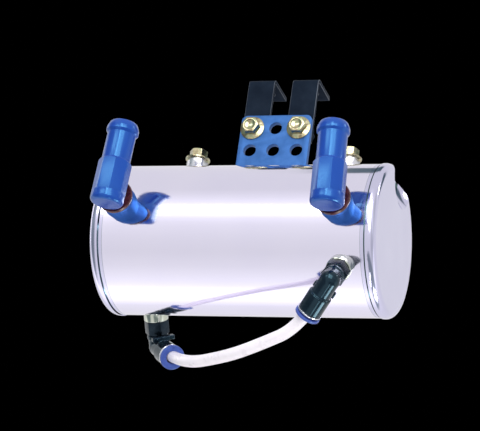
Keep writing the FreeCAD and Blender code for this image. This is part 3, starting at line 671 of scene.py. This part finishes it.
# %% [markdown]
# Anodised aluminium is metal seen through a dyed, glassy skin. On the unions that skin is deep blue
# with cyan lights, so it is a dense dielectric whose reflections are tinted. The dye is paler where
# an edge has been handled. The seats stand close to the polished tank and mirror it, so they are
# more metallic, which keeps that mirror image blue. The plate is matt.

# %% Blue anodising
def make_union_blue():
    finish, tree, shader = new_finish(
        "union_blue", Metallic=0.0, IOR=2.0, Specular_Tint=(0.15, 0.48, 0.69, 1))
    place = object_place(tree)
    give_handling(tree, shader, place, 90.0, 0.19, 0.06)
    wear = place_group(tree, edge_wear, Start=0.53, Full=0.62, Amount=0.5)
    tree.links.new(place, wear.inputs["Vector"])
    colour = blend_colour(tree, wear.outputs["Mask"], screen(28, 62, 154), screen(66, 108, 184))
    tree.links.new(colour, shader.inputs["Base Color"])
    give_grain(tree, shader, place, (3000.0, 3000.0, 3000.0), 0.10, 0.00003)
    return finish


def make_seat_blue():
    finish, tree, shader = new_finish(
        "seat_blue", Metallic=0.85, Specular_Tint=(0.35, 0.6, 0.85, 1))
    place = object_place(tree)
    marks = give_handling(tree, shader, place, 90.0, 0.46, 0.08)
    dye = blend_colour(tree, marks.outputs["Mask"], screen(52, 88, 160), screen(64, 104, 178))
    tree.links.new(dye, shader.inputs["Base Color"])
    give_grain(tree, shader, place, (3000.0, 3000.0, 3000.0), 0.10, 0.00003)
    return finish


def make_plate_blue():
    finish, tree, shader = new_finish("plate_blue", Metallic=0.6, Specular_IOR_Level=0.3)
    place = object_place(tree)
    marks = give_handling(tree, shader, place, 260.0, 0.5, 0.15)
    dye = blend_colour(tree, marks.outputs["Mask"], screen(46, 90, 150), screen(62, 107, 170))
    tree.links.new(dye, shader.inputs["Base Color"])
    give_grain(tree, shader, place, (1800.0, 1800.0, 1800.0), 0.2, 0.00005)
    return finish


union_blue = make_union_blue()
seat_blue = make_seat_blue()
plate_blue = make_plate_blue()
print("blue finishes made")

# %% [markdown]
# The stays are steel with black powder coat: dark, half gloss, with the shallow orange peel that the
# powder leaves when it melts. A paler grey on their rounded edges is a painted edge highlight.

# %% Black powder coat
def make_powder_coat(name, ior, first, second):
    finish, tree, shader = new_finish(name, Metallic=0.0, IOR=ior)
    place = object_place(tree)
    marks = give_handling(tree, shader, place, 120.0, 0.38, 0.12)
    colour = blend_colour(tree, marks.outputs["Mask"], first, second)
    tree.links.new(colour, shader.inputs["Base Color"])
    give_grain(tree, shader, place, (1100.0, 1100.0, 1100.0), 0.25, 0.00006)
    return finish


powder_coat = make_powder_coat("powder_coat", 1.04, screen(22, 30, 42), screen(30, 39, 52))
# The second finish is a painted edge highlight for the stays' rounded edges.
painted_edge_highlight = make_powder_coat("painted_edge_highlight", 1.4, screen(64, 70, 82), screen(100, 108, 120))
print("finishes", powder_coat.name, painted_edge_highlight.name)

# %% [markdown]
# Yellow zinc plate is a thin film, so its colour drifts between brass, green and rose over a few
# millimetres. A noise drives a ramp of those colours on rough bright metal.

# %% Yellow zinc
ZINC_COLOURS = [(0.30, (146, 134, 104)), (0.46, (190, 180, 148)), (0.58, (164, 172, 138)),
                (0.72, (160, 136, 112))]


def make_yellow_zinc():
    finish, tree, shader = new_finish("yellow_zinc", Metallic=1.0)
    place = object_place(tree)
    give_handling(tree, shader, place, 300.0, 0.19, 0.08)
    drift = add_node(tree, "ShaderNodeTexNoise", Scale=260.0, Detail=2.0)
    tree.links.new(place, drift.inputs["Vector"])
    film = tree.nodes.new("ShaderNodeValToRGB")
    film_stops = film.color_ramp.elements
    while len(film_stops) < len(ZINC_COLOURS):
        film_stops.new(1.0)
    for stop, (position, colour) in zip(film_stops, ZINC_COLOURS):
        stop.position = position
        stop.color = screen(*colour)
    tree.links.new(drift.outputs["Fac"], film.inputs["Fac"])
    tree.links.new(film.outputs["Color"], shader.inputs["Base Color"])
    give_grain(tree, shader, place, (2000.0, 2000.0, 2000.0), 0.15, 0.00004)
    return finish


yellow_zinc = make_yellow_zinc()
print("finish", yellow_zinc.name)

# %% [markdown]
# Small metal parts: black nickel on the brass stems, bright nickel on the bungs, chrome on the guide
# rings, and bare spring steel for clips and grip rings. They differ only in colour and in how rough
# they are, so one function makes them all.

# %% Small metal parts
def make_plain_metal(name, first, second, roughness, spread):
    finish, tree, shader = new_finish(name, Metallic=1.0)
    place = object_place(tree)
    marks = give_handling(tree, shader, place, 350.0, roughness, spread)
    colour = blend_colour(tree, marks.outputs["Mask"], first, second)
    tree.links.new(colour, shader.inputs["Base Color"])
    give_grain(tree, shader, place, (2500.0, 2500.0, 2500.0), 0.1, 0.00003)
    return finish


black_nickel = make_plain_metal("black_nickel", screen(34, 44, 54), screen(48, 60, 70), 0.24, 0.10)
bung_metal = make_plain_metal("bung_metal", screen(196, 204, 196), screen(214, 216, 200), 0.14, 0.06)
bright_ring = make_plain_metal("bright_ring", screen(220, 222, 232), screen(238, 238, 244), 0.12, 0.06)
spring_steel = make_plain_metal("spring_steel", screen(150, 150, 156), screen(186, 186, 190),
                                0.32, 0.12)
print("small metal finishes made")

# %% [markdown]
# The push-in elbows are moulded in glossy black nylon, and the release rings in blue. Moulded
# plastic has a smooth skin with a very slight waviness, and here a cool blue-green sheen.

# %% Moulded plastic
def make_moulded(name, first, second, roughness):
    finish, tree, shader = new_finish(name, Metallic=0.0, Specular_Tint=(0.4, 0.8, 1.0, 1))
    place = object_place(tree)
    marks = give_handling(tree, shader, place, 150.0, roughness, 0.10)
    colour = blend_colour(tree, marks.outputs["Mask"], first, second)
    tree.links.new(colour, shader.inputs["Base Color"])
    give_grain(tree, shader, place, (420.0, 420.0, 420.0), 0.12, 0.00006, 1.0)
    return finish


black_nylon = make_moulded("black_nylon", screen(11, 18, 28), screen(18, 28, 40), 0.16)
release_blue = make_moulded("release_blue", screen(60, 76, 150), screen(76, 94, 172), 0.28)
print("finishes", black_nylon.name, release_blue.name)

# %% [markdown]
# Rubber is dull, and its fine grain breaks up every light. The seals under the unions show a dark
# red edge.

# %% Rubber
def make_rubber(name, first, second, roughness):
    finish, tree, shader = new_finish(name, Metallic=0.0)
    place = object_place(tree)
    marks = give_handling(tree, shader, place, 400.0, roughness, 0.15)
    colour = blend_colour(tree, marks.outputs["Mask"], first, second)
    tree.links.new(colour, shader.inputs["Base Color"])
    give_grain(tree, shader, place, (1500.0, 1500.0, 1500.0), 0.25, 0.00005)
    return finish


seal_rubber = make_rubber("seal_rubber", screen(28, 28, 30), screen(44, 44, 46), 0.6)
copper_seal = make_rubber("copper_seal", screen(50, 18, 22), screen(88, 32, 34), 0.30)
print("finishes", seal_rubber.name, copper_seal.name)

# %% [markdown]
# Nylon tube is milky: light goes in and comes out a little way off. Subsurface light does this with
# no need for the slow paths of glass. A little light of its own stands for what comes through.

# %% Nylon tube
def make_nylon_tube():
    finish, tree, shader = new_finish(
        "nylon_tube", Metallic=0.0, Subsurface_Weight=0.3, Subsurface_Radius=(1.0, 1.0, 1.0),
        Subsurface_Scale=0.002, Coat_Weight=0.3, Coat_Roughness=0.15,
        Emission_Color=(1, 0.97, 1, 1), Emission_Strength=0.04)
    place = object_place(tree)
    marks = give_handling(tree, shader, place, 120.0, 0.30, 0.10)
    colour = blend_colour(tree, marks.outputs["Mask"], screen(238, 231, 238), screen(246, 240, 246))
    tree.links.new(colour, shader.inputs["Base Color"])
    give_grain(tree, shader, place, (500.0, 500.0, 500.0), 0.08, 0.00005)
    return finish


nylon_tube = make_nylon_tube()
clear_tube.data.materials.append(nylon_tube)
print("finish", nylon_tube.name)

# %% [markdown]
# A CAD solid has edges of no width at all, and a render gives them away: a real edge is broken or
# rolled, and catches a line of light. So most parts are shown by a copy of their CAD mesh. Its
# loose triangles are merged, flat ones joined to whole faces, and every sharp edge is bevelled.

# %% Easing the edges
MERGE = 0.001 * MM
FLAT = math.radians(0.6)
SHARP = math.radians(28)
KEPT_SHARP = math.radians(40)
ROUND_STEPS = 3


def shown_piece(name, shape, node, finish):
    """An object made from a bmesh, that stands for a CAD node and rides on its body."""
    mesh = bpy.data.meshes.new(name)
    shape.to_mesh(mesh)
    shape.free()
    piece = bpy.data.objects.new(name, mesh)
    bpy.context.scene.collection.objects.link(piece)
    mesh.materials.append(finish)
    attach(piece, nodes[node]["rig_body"])
    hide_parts(node)
    return piece


def merged_copy(node):
    """The CAD node's mesh with its loose triangles joined."""
    shape = bmesh.new()
    shape.from_mesh(nodes[node].data)
    bmesh.ops.remove_doubles(shape, verts=shape.verts, dist=MERGE)
    bmesh.ops.dissolve_limit(shape, angle_limit=FLAT, verts=shape.verts, edges=shape.edges)
    return shape


def ease(node, width, finish, wear_and_edge_highlight=None, shape=None):
    """Show a node by a copy with its sharp edges rounded, and a painted edge highlight on the rounded
    faces where a second finish is given.
    """
    shape = shape or merged_copy(node)
    sharp = [edge for edge in shape.edges if edge.is_manifold and edge.calc_face_angle() > SHARP]
    eased = bmesh.ops.bevel(shape, geom=sharp, offset=width, affect="EDGES", segments=ROUND_STEPS,
                            profile=0.5, material=-1, clamp_overlap=True)
    # The bevel faces take the second finish: a paler colour painted on as an edge highlight.
    if wear_and_edge_highlight:
        for face in eased["faces"]:
            face.material_index = 1
    bmesh.ops.remove_doubles(shape, verts=shape.verts, dist=MERGE)
    piece = shown_piece(f"{node}_eased", shape, node, finish)
    if wear_and_edge_highlight:
        piece.data.materials.append(wear_and_edge_highlight)
    piece.data.shade_smooth()
    piece.data.set_sharp_from_angle(angle=KEPT_SHARP)


print("edges above", round(math.degrees(SHARP)), "degrees are rounded in", ROUND_STEPS, "steps")

# %% [markdown]
# These parts need no more than eased edges and their own finish. The numbers are the widths of the
# edge breaks, in millimetres, as a tumbler or a file leaves them.

# %% Parts with eased edges
EASED = [
    ("mounting_plate", 0.35, plate_blue),
    # The stays' rounded edges take a second, paler finish: a painted edge highlight.
    ("left_stay", 0.22, powder_coat, painted_edge_highlight),
    ("right_stay", 0.22, powder_coat, painted_edge_highlight),
]
for side in SIDES:
    EASED += [
        (f"{side}_stay_nut", 0.18, powder_coat),
        (f"{side}_crown_boss", 0.20, bare_aluminium),
        (f"{side}_plug_washer", 0.15, bare_aluminium),
        (f"{side}_union_seat", 0.25, seat_blue),
        (f"{side}_union_elbow", 0.30, union_blue),
        (f"{side}_gauge_bung", 0.15, bung_metal),
        (f"{side}_gauge_stem", 0.18, black_nickel),
        (f"{side}_guide_ring", 0.12, bright_ring),
        (f"{side}_release_ring", 0.15, release_blue),
    ]
for node, width, *finishes in EASED:
    ease(node, width * MM, *finishes)
print("eased", len(EASED), "parts")

# %% [markdown]
# The head of a flange bolt is pressed into shape, and the punch leaves a dish in its middle. The CAD
# has a flat floor there. One poke turns that floor into a cone, which catches the light on one side
# and the dark on the other.

# %% Bolt heads
DISH_DEPTH = 0.9 * MM
FACING = 0.99
BOLT_EDGE = 0.18 * MM
HEAD_DIRECTIONS = {"stay_bolt": Vector((0, -1, 0)), "plug_bolt": Vector((0, 0, 1))}


def dished_bolt(node, outward):
    shape = merged_copy(node)
    axis_point = middle(node)

    def off_axis(face):
        across = face.calc_center_median() - axis_point
        return (across - across.dot(outward) * outward).length

    facing = [face for face in shape.faces if face.normal.dot(outward) > FACING]
    floor_face = min(facing, key=off_axis)
    bmesh.ops.poke(shape, faces=[floor_face], offset=-DISH_DEPTH)
    ease(node, BOLT_EDGE, yellow_zinc, shape=shape)


for side in SIDES:
    for kind, outward in HEAD_DIRECTIONS.items():
        dished_bolt(f"{side}_{kind}", outward)
print("bolt heads dished")

# %% [markdown]
# A moulded elbow has no sharp corner anywhere: the mould is rounded inside so that it fills. Its CAD
# solid is a union of plain bars, so a fine voxel remesh turns it to an even skin, and a few rounds
# of smoothing run the bars into each other.

# %% Moulded elbows
ELBOW_VOXEL = 0.35 * MM
ELBOW_SMOOTHING = 6


def mould(node, finish):
    shape = merged_copy(node)
    bmesh.ops.triangulate(shape, faces=shape.faces)
    piece = shown_piece(f"{node}_moulded", shape, node, finish)
    remesh = piece.modifiers.new("even_skin", "REMESH")
    remesh.mode = "VOXEL"
    remesh.voxel_size = ELBOW_VOXEL
    remesh.use_smooth_shade = True
    rounds = piece.modifiers.new("soft_corners", "SMOOTH")
    rounds.factor = 0.5
    rounds.iterations = ELBOW_SMOOTHING


for side in SIDES:
    mould(f"{side}_gauge_elbow", black_nylon)
print("elbows remeshed at", round(ELBOW_VOXEL / MM, 2), "mm")

# %% [markdown]
# The parts that stay exactly as the CAD has them take a finish in their material slot.

# %% Parts shown as they are
PAINTED = {
    "tank_shell": polished_tank,
    "left_end_cap": turned_cap,
    "right_end_cap": turned_cap,
    "baffle_plate": bare_aluminium,
    "front_weld": bare_aluminium,
    "rear_weld": bare_aluminium,
}
for side in SIDES:
    PAINTED.update({
        f"{side}_union_seal": copper_seal,
        f"{side}_union_clip": spring_steel,
        f"{side}_tube_seal": seal_rubber,
        f"{side}_grip_ring": spring_steel,
    })
for node, finish in PAINTED.items():
    nodes[node].material_slots[0].material = finish
print("painted", len(PAINTED), "nodes")
